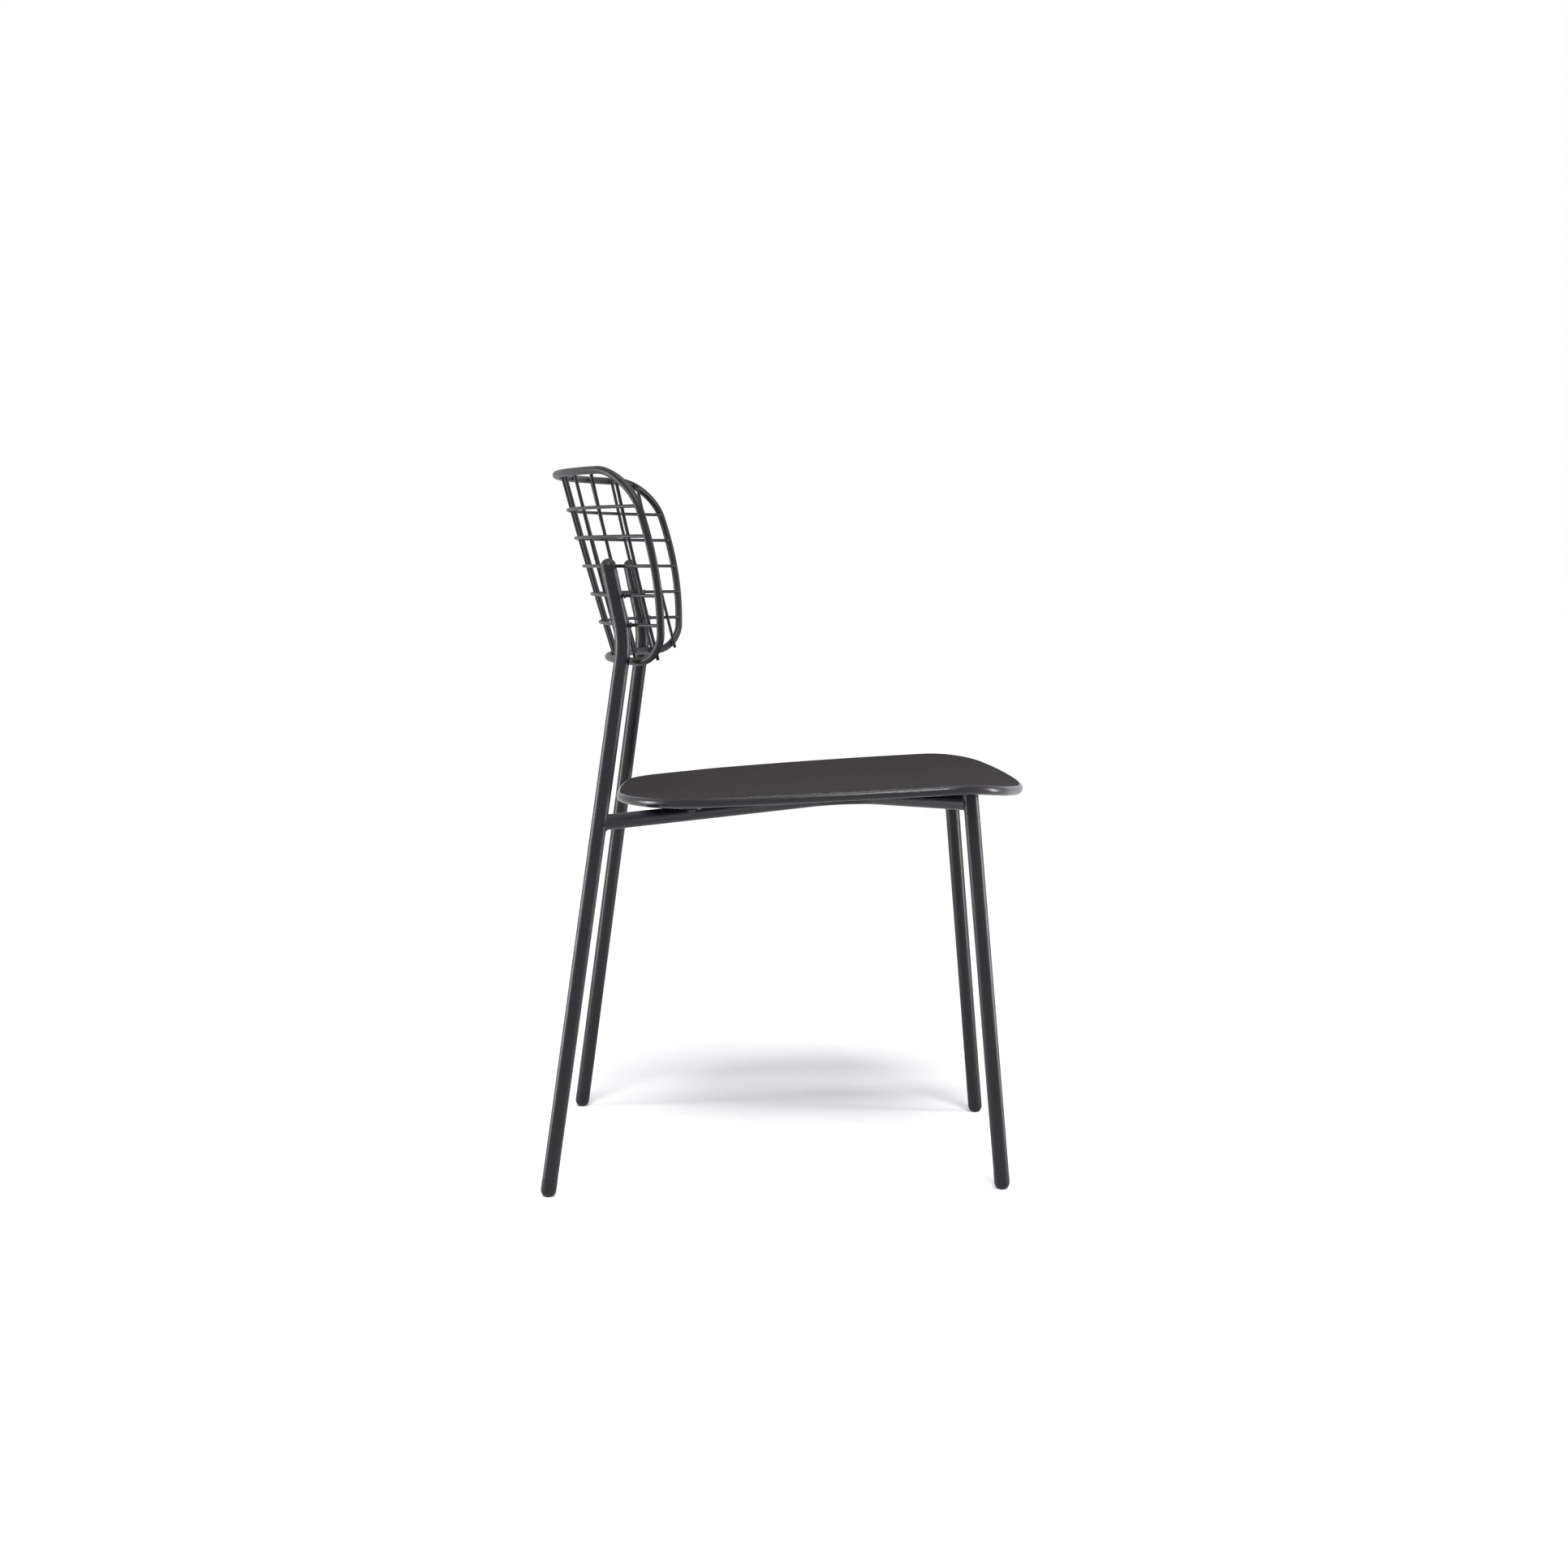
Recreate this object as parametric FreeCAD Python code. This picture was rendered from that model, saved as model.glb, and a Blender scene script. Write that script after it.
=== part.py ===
import FreeCAD, Part
import math
import os

# Side chair of bent steel tube, rod and wire with a formed sheet steel seat, in millimetres.
# The floor is Z 0 and the seat's front is to -Y. The sitter's left is +X and the origin is on the
# floor under the middle of the chair. Every pair is modelled on the left and mirrored to the right.

Vector = FreeCAD.Vector

# Stock
tube_diameter = 18.0
tube_wall = 1.5
frame_rod_diameter = 9.0
wire_diameter = 4.0
weld_gap = 0.1              # between round pieces that cross and are joined by a weld
fit_gap = 0.2               # all round, between a plug and the bore of its tube

# Rear legs: foot, knee above the seat, and the upper run that leans back to the mesh
rear_foot_x = 238.0
rear_foot_y = 276.0
knee_inset = 52.9           # from the backrest frame's widest point in to the knee
knee_y = 187.2
knee_z = 633.9
knee_radius = 135.0
post_head_inset = 49.3      # from the same point in to where the post's end meets a row wire
post_row = 3                # that row, counted from the top
rear_tube_end_z = 714.5

# Front legs
front_foot_x = 202.9
front_foot_y = -247.9
front_head_x = 181.4
front_head_y = -209.0
front_head_z = 460.0

# Foot glides
glide_height = 21.0
glide_flat_depth = 0.6      # how far the round end is cut off to stand flat
spigot_length = 16.0

# Domed plugs at the tops of the rear legs
plug_groove_height = 0.5
plug_groove_depth = 0.7
plug_flange_height = 4.4
plug_dome_height = 7.8
leg_cap_height = 2.5

# Seat rails
rail_rear_z = 427.0
rail_front_z = 447.4
rail_apex_y = -62.4
rail_apex_z = 437.6
rail_bend_radius = 55.0
rail_meeting_gap = 0.3

# Seat outline: five circles, each tangent to the next
seat_half_width = 245.0
seat_widest_y = -144.0
seat_front_y = -284.3
seat_rear_y = 207.8
seat_side_radius = 1045.0
seat_rear_radius = 1220.0
seat_front_radius = 575.0
seat_rear_corner_radius = 150.0
seat_front_corner_radius = 90.0

# Seat profile along the middle, and the dish across it
seat_level_y = 6.0
seat_level_z = 457.0
seat_pitch = 0.057          # rise towards the front
seat_front_curve_y = -179.0
seat_front_curve_radius = 320.0
seat_rear_curve_y = 116.0
seat_rear_curve_radius = 675.0
seat_dish_radius = 6000.0
seat_rim_height = 11.0
seat_rim_round = 5.4
seat_sheet = 2.0
seat_hem = 4.0              # thickness of the folded wall round the rim
seat_lip = 12.0             # width of the rim's return under the seat
seat_margin = 10.0          # how far the seat's blank runs past its outline

# Seat fixings
rear_mount_y = 126.0
front_mount_y = -159.0
mount_plate_thickness = 3.0
mount_plate_half_width = 13.0
mount_saddle_depth = 1.5    # how far the tube's crest stands into the plate
mount_reach = 20.0          # from the rail's axis to the screw
bush_diameter = 14.0
screw_diameter = 6.0
screw_clearance = 0.4
thread_gap = 0.1
screw_head_diameter = 10.5
screw_head_height = 3.3
screw_head_round = 2.0
screw_length = 12.0

# Backrest surface: heights, lean, and plan radii that change from the bottom to the top
back_bottom_z = 610.3
back_top_z = 827.5
back_bottom_y = 218.0
back_top_y = 279.8
back_bow = 1.0
back_shoulder_x = 150.0     # where the middle arc of the plan passes into the side arc
back_middle_radius_top = 345.0
back_middle_radius_bottom = 470.0
back_side_radius_top = 345.0
back_side_radius_bottom = 207.0

# Backrest frame outline, seen from the front
frame_half_width = 248.7
frame_widest_z = 740.0
frame_side_radius = 436.0
frame_top_corner_radius = 50.0
frame_bottom_corner_radius = 42.0
frame_corner_span_count = 3
frame_side_span_count = 3

# Backrest mesh
row_count = 5
row_top_space = 41.7        # from the frame's upper rail down to the first row wire
row_bottom_space = 41.9     # from the last row wire down to the lower rail
column_count = 10
column_side_inset = 13.35   # along the curve, from the frame's half width in to the last wire
column_overrun = 1.0

# Working allowances
cut_margin = 1.0            # how far a cutting bar runs past what it cuts
heading_step = 0.0005       # turn over which a direction is measured
refining_rounds = 6

tube_radius = tube_diameter / 2
rod_radius = frame_rod_diameter / 2
wire_radius = wire_diameter / 2
spigot_radius = tube_radius - tube_wall - fit_gap
knee_x = frame_half_width - knee_inset
post_head_x = frame_half_width - post_head_inset
column_pitch = (frame_half_width - column_side_inset) / ((column_count - 1) / 2)
row_reach = back_top_z - row_top_space - back_bottom_z - row_bottom_space
back_lean = math.atan2(back_top_y - back_bottom_y, back_top_z - back_bottom_z)
row_inset = (rod_radius - wire_radius) / math.cos(back_lean)
column_inset = (rod_radius + wire_radius + weld_gap) / math.cos(back_lean)


def mirrored(shape):
    """The same piece on the other side of the chair."""
    return shape.mirror(Vector(0, 0, 0), Vector(1, 0, 0))


def largest(shape):
    """The piece that is kept when a cut leaves offcuts."""
    return max(shape.Solids, key=lambda solid: solid.Volume)


def line(start, end):
    return Part.LineSegment(start, end).toShape()


def arc(start, middle, end):
    return Part.Arc(start, middle, end).toShape()


def sweep(path, radius):
    """A round bar along a path of lines and arcs that run into each other."""
    first = path[0]
    start = first.valueAt(first.FirstParameter)
    heading = first.tangentAt(first.FirstParameter)
    section = Part.Wire([Part.Circle(start, heading, radius).toShape()])
    return Part.Wire(path).makePipeShell([section], True, False)


def tube(path):
    return sweep(path, tube_radius).cut(sweep(path, tube_radius - tube_wall))


def bent_path(start, corner, end, radius):
    """Two straight runs and the tangent arc between them."""
    back = (start - corner).normalize()
    ahead = (end - corner).normalize()
    half_turn = (math.pi - back.getAngle(ahead)) / 2
    setback = radius * math.tan(half_turn)
    inward = (back + ahead).normalize()
    middle = corner + inward * (radius / math.cos(half_turn) - radius)
    bend_start = corner + back * setback
    bend_end = corner + ahead * setback
    return [line(start, bend_start), arc(bend_start, middle, bend_end), line(bend_end, end)]


def spun(profile, base, axis):
    """A solid turned about an axis, from radius and height points and arcs already in place."""
    face = Part.Face(Part.Wire(profile))
    solid = face.revolve(Vector(0, 0, 0), Vector(0, 0, 1), 360)
    turn = FreeCAD.Rotation(Vector(0, 0, 1), axis)
    solid.Placement = FreeCAD.Placement(base, turn)
    return solid


def stepped_profile(steps):
    """Edges from the axis out along the given radius and height points."""
    points = [Vector(radius, 0, height) for radius, height in steps]
    return [line(a, b) for a, b in zip(points, points[1:])]


def at_height(start, end, z):
    """The point of a straight run at height z."""
    return start + (end - start) * ((z - start.z) / (end.z - start.z))


def corner_between(centre_a, radius_a, centre_b, radius_b, corner_radius):
    """Centre of the smaller circle that touches two larger ones from inside, on their +X side."""
    reach_a = radius_a - corner_radius
    reach_b = radius_b - corner_radius
    span = centre_b - centre_a
    along = (reach_a ** 2 - reach_b ** 2 + span.Length ** 2) / (2 * span.Length)
    across = math.sqrt(reach_a ** 2 - along ** 2)
    unit = Vector(span).normalize()
    side = Vector(unit.y, -unit.x, 0)
    options = [centre_a + unit * along + side * across, centre_a + unit * along - side * across]
    return max(options, key=lambda point: point.x)


# Backrest surface

def back_share(z):
    """How far up the backrest the height z lies, from 0 to 1."""
    return (z - back_bottom_z) / (back_top_z - back_bottom_z)


def blended_radius(bottom, top, z):
    """Radius at height z of a curve whose curvature changes evenly."""
    share = back_share(z)
    return 1 / ((1 - share) / bottom + share / top)


class BackLevel:
    """Plan of the backrest at one height: a middle arc and a tighter arc on each side."""

    def __init__(self, z):
        share = back_share(z)
        self.z = z
        self.middle_radius = blended_radius(back_middle_radius_bottom, back_middle_radius_top, z)
        self.side_radius = blended_radius(back_side_radius_bottom, back_side_radius_top, z)
        y = back_bottom_y + share * (back_top_y - back_bottom_y) + 4 * back_bow * share * (1 - share)
        self.middle_centre = Vector(0, y - self.middle_radius, z)
        self.shoulder = math.asin(back_shoulder_x / self.middle_radius)
        passed_on = self.middle_radius - self.side_radius
        self.side_centre = self.middle_centre + self.direction(self.shoulder) * passed_on

    @staticmethod
    def direction(angle):
        return Vector(math.sin(angle), math.cos(angle), 0)

    def at_angle(self, angle, inset=0.0):
        """Point where the outward direction turns by this angle from straight back."""
        if abs(angle) <= self.shoulder:
            return self.middle_centre + self.direction(angle) * (self.middle_radius - inset)
        centre = Vector(math.copysign(self.side_centre.x, angle), self.side_centre.y, self.z)
        return centre + self.direction(angle) * (self.side_radius - inset)

    def angle_at_x(self, x):
        if abs(x) <= back_shoulder_x:
            return math.asin(x / self.middle_radius)
        turn = math.asin((abs(x) - self.side_centre.x) / self.side_radius)
        return math.copysign(turn, x)

    def angle_at_length(self, length):
        """Angle at a distance along the curve from the middle of the back."""
        middle_length = self.shoulder * self.middle_radius
        if length <= middle_length:
            return length / self.middle_radius
        return self.shoulder + (length - middle_length) / self.side_radius

    def path(self, first_angle, last_angle, inset=0.0):
        """Arcs from one angle to a larger one."""
        stops = [first_angle]
        stops += [turn for turn in (-self.shoulder, self.shoulder) if first_angle < turn < last_angle]
        stops.append(last_angle)
        return [arc(self.at_angle(a, inset), self.at_angle((a + b) / 2, inset), self.at_angle(b, inset))
                for a, b in zip(stops, stops[1:])]


def back_point(x, z):
    """Point of the backrest surface seen at x and z from the front."""
    level = BackLevel(z)
    return level.at_angle(level.angle_at_x(x))


# Backrest frame: the outline from the front, as circle centres with X across and Y up

side_centre = Vector(frame_half_width - frame_side_radius, frame_widest_z, 0)


def frame_corner_centre(rail_z, radius, up):
    """Centre of a corner that touches the straight rail and the side arc."""
    height = rail_z - up * radius
    rise = height - side_centre.y
    reach = frame_side_radius - radius
    return Vector(side_centre.x + math.sqrt(reach ** 2 - rise ** 2), height, 0)


top_corner = frame_corner_centre(back_top_z, frame_top_corner_radius, 1)
bottom_corner = frame_corner_centre(back_bottom_z, frame_bottom_corner_radius, -1)


def tilt_from(centre, other):
    return math.atan2(other.y - centre.y, other.x - centre.x)


def frame_spans():
    """Circle, first and last angle and number of spans for each curve from top to bottom."""
    top_turn = tilt_from(side_centre, top_corner)
    bottom_turn = tilt_from(side_centre, bottom_corner)
    return [(top_corner, frame_top_corner_radius, math.pi / 2, top_turn, frame_corner_span_count),
            (side_centre, frame_side_radius, top_turn, bottom_turn, frame_side_span_count),
            (bottom_corner, frame_bottom_corner_radius, bottom_turn, -math.pi / 2, frame_corner_span_count)]


def on_frame(centre, radius, angle):
    """Point of the frame's centre line for an angle on one circle of its outline."""
    return back_point(centre.x + radius * math.cos(angle), centre.y + radius * math.sin(angle))


def frame_heading(centre, radius, angle):
    """Direction of the centre line, running from top to bottom."""
    ahead = on_frame(centre, radius, angle - heading_step)
    behind = on_frame(centre, radius, angle + heading_step)
    return (ahead - behind).normalize()


def biarc(start, start_heading, end, end_heading):
    """Two arcs that leave one point and reach another in the given directions."""
    span = end - start
    headings = start_heading + end_heading
    spread = 2 * (1 - start_heading.dot(end_heading))
    lead = span.dot(headings)
    reach = (math.sqrt(lead ** 2 + spread * span.dot(span)) - lead) / spread
    first_corner = start + start_heading * reach
    last_corner = end - end_heading * reach
    joint = (first_corner + last_corner) * 0.5
    return [tangent_arc(start, first_corner, joint), tangent_arc(joint, last_corner, end)]


def tangent_arc(start, corner, end):
    """Arc between two points whose end tangents meet at the corner."""
    middle = (start + end) * 0.5
    half_chord = (end - start).Length / 2
    outward = corner - middle
    half_angle = math.atan2(outward.Length, half_chord)
    sag = half_chord * math.tan(half_angle / 2)
    return arc(start, middle + Vector(outward).normalize() * sag, end)


def frame_half_path():
    """Centre line of the left half of the loop, from the top middle to the bottom middle."""
    top = BackLevel(back_top_z)
    bottom = BackLevel(back_bottom_z)
    path = top.path(0.0, top.angle_at_x(top_corner.x))
    for centre, radius, first, last, count in frame_spans():
        angles = [first + (last - first) * step / count for step in range(count + 1)]
        for a, b in zip(angles, angles[1:]):
            path += biarc(on_frame(centre, radius, a), frame_heading(centre, radius, a),
                          on_frame(centre, radius, b), frame_heading(centre, radius, b))
    rail = bottom.path(-bottom.angle_at_x(bottom_corner.x), 0.0)
    for edge in rail:
        path.append(mirrored_arc(edge))
    return path


def mirrored_arc(edge):
    """An arc of the right half, laid on the left and run towards the middle."""
    first, last = edge.ParameterRange
    points = [edge.valueAt(first), edge.valueAt((first + last) / 2), edge.valueAt(last)]
    return arc(*[Vector(-point.x, point.y, point.z) for point in points])


def frame_edge_z(x, up):
    """Height of the frame's centre line at x, on its upper or lower half."""
    corner = top_corner if up > 0 else bottom_corner
    radius = frame_top_corner_radius if up > 0 else frame_bottom_corner_radius
    rail_z = back_top_z if up > 0 else back_bottom_z
    if x <= corner.x:
        return rail_z
    return corner.y + up * math.sqrt(radius ** 2 - (x - corner.x) ** 2)


def frame_side_x(z):
    """Half width of the frame's centre line at height z, between its corners."""
    return side_centre.x + math.sqrt(frame_side_radius ** 2 - (z - side_centre.y) ** 2)


def make_back_frame():
    half = sweep(frame_half_path(), rod_radius)
    return half.fuse(mirrored(half)).removeSplitter()


def row_z(row):
    """Height of a row wire, counted from 1 at the top."""
    return back_top_z - row_top_space - row_reach * (row - 1) / (row_count - 1)


def make_row(row, frame):
    """A horizontal wire that butts against the frame at both ends."""
    level = BackLevel(row_z(row))
    end = level.angle_at_x(frame_side_x(level.z))
    return largest(sweep(level.path(-end, end, row_inset), wire_radius).cut(frame))


def column_end(length, up):
    """End of a vertical wire, just past the frame's centre line."""
    x = 0.0
    z = back_top_z if up > 0 else back_bottom_z
    for _ in range(refining_rounds):
        level = BackLevel(z)
        x = level.at_angle(level.angle_at_length(length)).x
        z = frame_edge_z(x, up) + up * column_overrun
    level = BackLevel(z)
    return level.at_angle(level.angle_at_length(length), column_inset)


def make_column(offset):
    """A vertical wire on the sitter's side of the rows, at this many pitches from the middle."""
    length = abs(offset) * column_pitch
    top = column_end(length, 1)
    bottom = column_end(length, -1)
    level = BackLevel((top.z + bottom.z) / 2)
    middle = level.at_angle(level.angle_at_length(length), column_inset)
    wire = sweep([arc(top, middle, bottom)], wire_radius)
    return wire if offset > 0 else mirrored(wire)


# Legs, plugs and glides

def post_head():
    """Axis of the rear post where it touches the row wire from behind."""
    level = BackLevel(row_z(post_row))
    clear = (tube_radius + wire_radius + weld_gap) / math.cos(back_lean)
    angle = level.angle_at_x(post_head_x)
    for _ in range(refining_rounds):
        point = level.at_angle(angle, row_inset - clear)
        angle -= (point.x - post_head_x) / level.side_radius
    return level.at_angle(angle, row_inset - clear)


rear_foot = Vector(rear_foot_x, rear_foot_y, 0)
knee = Vector(knee_x, knee_y, knee_z)
rear_head = at_height(knee, post_head(), rear_tube_end_z)
front_foot = Vector(front_foot_x, front_foot_y, 0)
front_head = Vector(front_head_x, front_head_y, front_head_z)


def glide_top(foot, head):
    return foot + (head - foot).normalize() * glide_height


def make_glide(foot, head):
    """A rounded foot of the tube's own diameter, with a spigot up the tube and a flat underneath."""
    up = (head - foot).normalize()
    low = -glide_flat_depth
    centre_z = low + tube_radius
    bottom = Vector(0, 0, low)
    flank = Vector(tube_radius, 0, centre_z)
    lean = math.sqrt(0.5) * tube_radius
    profile = [arc(bottom, Vector(lean, 0, centre_z - lean), flank)]
    profile += stepped_profile([(tube_radius, centre_z), (tube_radius, glide_height),
                                (spigot_radius, glide_height),
                                (spigot_radius, glide_height + spigot_length),
                                (0, glide_height + spigot_length), (0, low)])
    below = Part.makeBox(4 * tube_diameter, 4 * tube_diameter, tube_diameter,
                         foot - Vector(2 * tube_diameter, 2 * tube_diameter, tube_diameter))
    return spun(profile, foot, up).cut(below)


def make_dome_plug(head, up):
    """A domed plug with a flange between two fine grooves."""
    groove_radius = tube_radius - plug_groove_depth
    flange_bottom = plug_groove_height
    flange_top = flange_bottom + plug_flange_height
    dome_base = flange_top + plug_groove_height
    crown = dome_base + plug_dome_height
    sphere = (tube_radius ** 2 + plug_dome_height ** 2) / (2 * plug_dome_height)
    half_out = tube_radius / 2
    half_up = crown - sphere + math.sqrt(sphere ** 2 - half_out ** 2)
    dome = arc(Vector(tube_radius, 0, dome_base), Vector(half_out, 0, half_up), Vector(0, 0, crown))
    profile = stepped_profile([(0, crown), (0, -spigot_length), (spigot_radius, -spigot_length),
                               (spigot_radius, 0), (groove_radius, 0), (groove_radius, flange_bottom),
                               (tube_radius, flange_bottom), (tube_radius, flange_top),
                               (groove_radius, flange_top), (groove_radius, dome_base),
                               (tube_radius, dome_base)])
    return spun(profile + [dome], head, up)


def make_leg_cap(head, up):
    """A flat plug that closes the front leg under the seat."""
    profile = stepped_profile([(0, leg_cap_height), (0, -spigot_length), (spigot_radius, -spigot_length),
                               (spigot_radius, 0), (tube_radius, 0), (tube_radius, leg_cap_height),
                               (0, leg_cap_height)])
    return spun(profile, head, up)


rear_path = bent_path(glide_top(rear_foot, knee), knee, rear_head, knee_radius)
front_path = [line(glide_top(front_foot, front_head), front_head)]


# Seat rails

def tangent_from(point, centre, radius, turn):
    """Direction from a point along the tangent to a circle, in plan."""
    towards = centre - point
    towards.z = 0
    swing = turn * math.asin(radius / towards.Length)
    unit = towards.normalize()
    return Vector(unit.x * math.cos(swing) - unit.y * math.sin(swing),
                  unit.x * math.sin(swing) + unit.y * math.cos(swing), 0)


def rail_points():
    """Joint on the rear leg, corner of the bend, joint on the front leg."""
    rear = at_height(rear_foot, knee, rail_rear_z)
    front = at_height(front_foot, front_head, rail_front_z)
    bend_x = rail_bend_radius + tube_radius + rail_meeting_gap / 2
    bend = Vector(bend_x, rail_apex_y, 0)
    rear_heading = tangent_from(rear, bend, rail_bend_radius, -1)
    front_heading = tangent_from(front, bend, rail_bend_radius, 1)
    crossing = rear_heading.x * front_heading.y - rear_heading.y * front_heading.x
    between = front - rear
    reach = (between.x * front_heading.y - between.y * front_heading.x) / crossing
    corner = rear + rear_heading * reach
    corner.z = rail_apex_z
    return rear, corner, front


rail_rear, rail_corner, rail_front = rail_points()
rail_path = bent_path(rail_rear, rail_corner, rail_front, rail_bend_radius)


def make_rail():
    """A bent tube, its ends cut to sit against the legs."""
    legs = sweep(rear_path, tube_radius).fuse(sweep(front_path, tube_radius))
    return largest(tube(rail_path).cut(legs))


# Seat

def seat_circles():
    """Centre and radius of the rear, rear corner, side, front corner and front arcs."""
    rear = Vector(0, seat_rear_y - seat_rear_radius, 0)
    side = Vector(seat_half_width - seat_side_radius, seat_widest_y, 0)
    front = Vector(0, seat_front_y + seat_front_radius, 0)
    rear_corner = corner_between(rear, seat_rear_radius, side, seat_side_radius, seat_rear_corner_radius)
    front_corner = corner_between(side, seat_side_radius, front, seat_front_radius,
                                  seat_front_corner_radius)
    return [(rear, seat_rear_radius), (rear_corner, seat_rear_corner_radius), (side, seat_side_radius),
            (front_corner, seat_front_corner_radius), (front, seat_front_radius)]


def seat_outline(inset):
    """The seat's outline as a wire, moved in by the inset."""
    circles = seat_circles()
    turns = [math.pi / 2]
    for (a, a_radius), (b, b_radius) in zip(circles, circles[1:]):
        outward = (b - a) if b_radius < a_radius else (a - b)
        turns.append(math.atan2(outward.y, outward.x))
    turns.append(-math.pi / 2)
    half = []
    for (centre, radius), first, last in zip(circles, turns, turns[1:]):
        points = [centre + Vector(math.cos(turn), math.sin(turn), 0) * (radius - inset)
                  for turn in (first, (first + last) / 2, last)]
        half.append(points)
    edges = [arc(*points) for points in half]
    edges += [arc(*[Vector(-point.x, point.y, 0) for point in reversed(points)])
              for points in reversed(half)]
    return Part.Wire(edges)


def seat_prism(inset):
    blank = Part.Face(seat_outline(inset))
    low = seat_level_z - seat_half_width
    blank.translate(Vector(0, 0, low))
    return blank.extrude(Vector(0, 0, 2 * seat_half_width))


def seat_curve(depth):
    """Front, middle and rear points of the seat's profile, this far below its top."""
    slope = math.atan(seat_pitch)
    ahead = Vector(0, -math.cos(slope), math.sin(slope))
    up = Vector(0, math.sin(slope), math.cos(slope))

    def on_line(y):
        return Vector(0, y, seat_level_z - seat_pitch * (y - seat_level_y))

    front_start = on_line(seat_front_curve_y)
    rear_start = on_line(seat_rear_curve_y)
    front_turn = (seat_front_curve_y - seat_front_y + seat_margin) / seat_front_curve_radius
    rear_turn = (seat_rear_y - seat_rear_curve_y + seat_margin) / seat_rear_curve_radius
    front_centre = front_start - up * seat_front_curve_radius
    rear_centre = rear_start + up * seat_rear_curve_radius

    def spoke(turn):
        return up * math.cos(turn) + ahead * math.sin(turn)

    front = [front_centre + spoke(turn) * (seat_front_curve_radius - depth)
             for turn in (front_turn, front_turn / 2, 0)]
    rear = [rear_centre - spoke(turn) * (seat_rear_curve_radius + depth)
            for turn in (0, rear_turn / 2, rear_turn)]
    return front, rear


def seat_slab(top_depth, bottom_depth):
    """The seat's formed blank between two depths, dished across by turning it about a high axis."""
    top_front, top_rear = seat_curve(top_depth)
    low_front, low_rear = seat_curve(bottom_depth)
    edges = [arc(*top_front), line(top_front[-1], top_rear[0]), arc(*top_rear),
             line(top_rear[-1], low_rear[-1]), arc(*reversed(low_rear)),
             line(low_rear[0], low_front[-1]), arc(*reversed(low_front)),
             line(low_front[0], top_front[0])]
    axis_point = Vector(0, 0, seat_level_z + seat_dish_radius)
    half_turn = math.degrees(math.asin((seat_half_width + seat_margin) / seat_dish_radius))
    face = Part.Face(Part.Wire(edges))
    face.rotate(axis_point, Vector(0, 1, 0), -half_turn)
    return face.revolve(axis_point, Vector(0, 1, 0), 2 * half_turn)


def rounded(solid, radius):
    """Rounds the upper and lower edges of a seat blank, whose other edges are upright."""
    edges = [edge for edge in solid.Edges
             if max(edge.BoundBox.XLength, edge.BoundBox.YLength) > edge.BoundBox.ZLength]
    return solid.makeFillet(radius, edges)


def make_seat():
    """A formed sheet with a round hemmed rim that turns back under it as a lip."""
    outside = rounded(seat_prism(0.0).common(seat_slab(0.0, seat_rim_height)), seat_rim_round)
    inside = seat_prism(seat_hem).common(seat_slab(seat_sheet, seat_rim_height - seat_sheet))
    under = seat_slab(seat_rim_height / 2, seat_rim_height + seat_sheet)
    opening = seat_prism(seat_lip).common(under)
    return outside.cut(inside).cut(opening)


# Seat fixings

def rail_point_at(y):
    """Axis point and unit direction of the straight part of a rail at y."""
    end = rail_rear if y > rail_apex_y else rail_front
    heading = (end - rail_corner).normalize()
    point = rail_corner + heading * ((y - rail_corner.y) / heading.y)
    return point, heading


def mount_place(y):
    """Centre of the plate's top face over the rail, and the level direction to its screw."""
    point, heading = rail_point_at(y)
    across = Vector(heading.y, -heading.x, 0).normalize()
    if across.x < 0:
        across = across * -1
    top = point.z + tube_radius - mount_saddle_depth + mount_plate_thickness
    return Vector(point.x, point.y, top), across


def upright(centre, radius, low, high):
    return Part.makeCylinder(radius, high - low, Vector(centre.x, centre.y, low))


def make_mount_plate(y, rail_bar):
    """A round-ended plate that saddles the rail, with a clear hole for the screw."""
    top, across = mount_place(y)
    along = Vector(-across.y, across.x, 0)
    low = top.z - mount_plate_thickness
    screw = top + across * mount_reach
    corners = [top - across * tube_radius + along * mount_plate_half_width,
               screw + along * mount_plate_half_width,
               screw - along * mount_plate_half_width,
               top - across * tube_radius - along * mount_plate_half_width]
    outline = [line(corners[0], corners[1]),
               arc(corners[1], screw + across * mount_plate_half_width, corners[2]),
               line(corners[2], corners[3]), line(corners[3], corners[0])]
    plate = Part.Face(Part.Wire(outline)).extrude(Vector(0, 0, -mount_plate_thickness))
    hole = upright(screw, (screw_diameter + screw_clearance) / 2, low - cut_margin,
                   top.z + cut_margin)
    return plate.cut(hole).cut(rail_bar)


def make_bush(y, seat):
    """A threaded bush that is welded under the seat sheet and stands on its plate."""
    top, across = mount_place(y)
    screw = top + across * mount_reach
    above_seat = seat_level_z + 2 * seat_rim_height
    bush = upright(screw, bush_diameter / 2, top.z, above_seat)
    bore = upright(screw, (screw_diameter + thread_gap) / 2, top.z - cut_margin,
                   above_seat + cut_margin)
    pieces = bush.cut(bore).cut(seat).Solids
    return min(pieces, key=lambda solid: solid.CenterOfMass.z)


def make_screw(y):
    """A button head screw from below, through the plate into the bush."""
    top, across = mount_place(y)
    screw = top + across * mount_reach
    seat_face = top.z - mount_plate_thickness
    shank = upright(screw, screw_diameter / 2, seat_face, seat_face + screw_length)
    head = upright(screw, screw_head_diameter / 2, seat_face - screw_head_height, seat_face)
    lowest = [edge for edge in head.Edges if edge.BoundBox.ZMax < seat_face - screw_head_height / 2]
    return shank.fuse(head.makeFillet(screw_head_round, lowest))


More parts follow.
